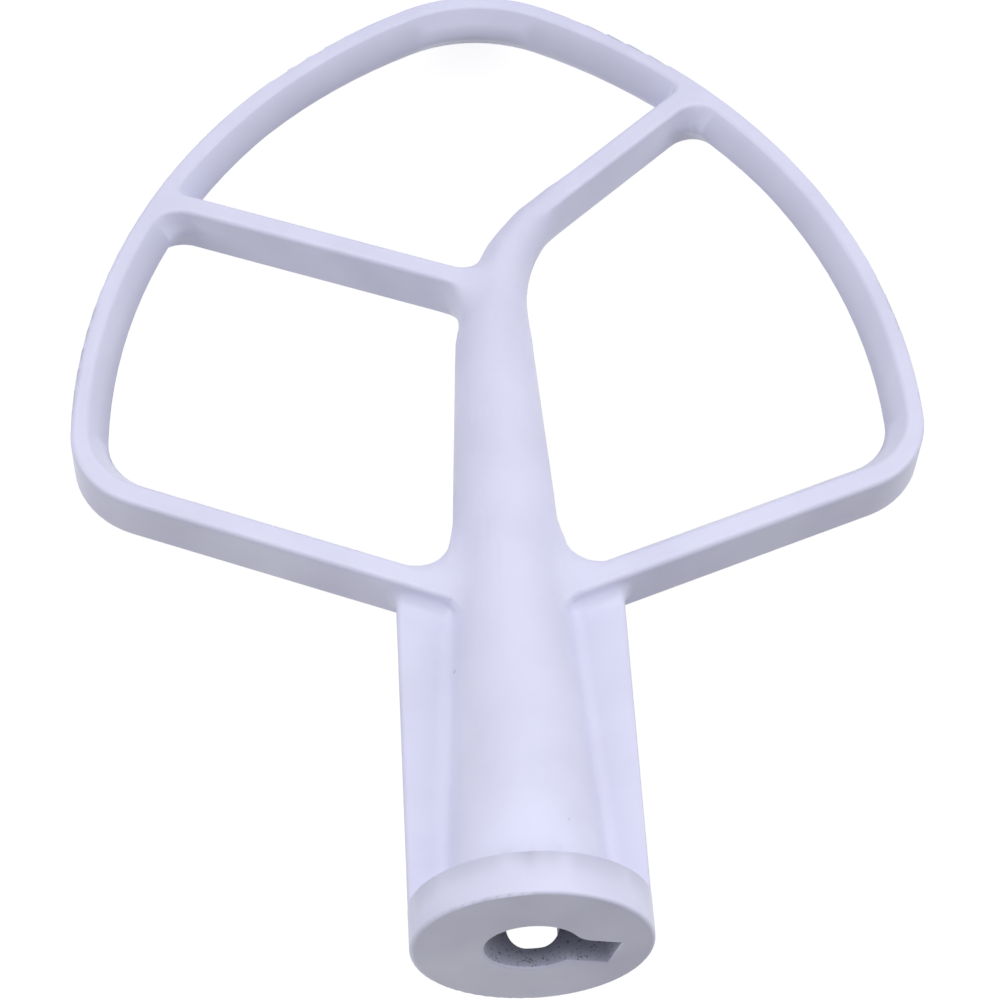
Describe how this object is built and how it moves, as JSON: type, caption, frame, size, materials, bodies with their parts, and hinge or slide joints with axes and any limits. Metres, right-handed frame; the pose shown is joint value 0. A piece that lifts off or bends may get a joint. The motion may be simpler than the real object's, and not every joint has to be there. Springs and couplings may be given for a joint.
{
  "type": "stand mixer flat beater",
  "caption": "Flat beater for a stand mixer: a shield-shaped cast frame with forked inner arms on a tapered spine, and a bayonet socket for the drive shaft.",
  "frame": {"origin": "centre of the socket's mouth, in the hub's end face", "axes": "+Z along the socket's axis, out of its mouth; the flat of the beater lies in XZ; -Y is the front and the pin window is in the back"},
  "size_m": [0.125, 0.0324, 0.167],
  "materials": {
    "white_coat": "satin white powder coat on cast aluminium"
  },
  "bodies": {
    "root": {"flat_beater": "white_coat"}
  },
  "joints": []
}
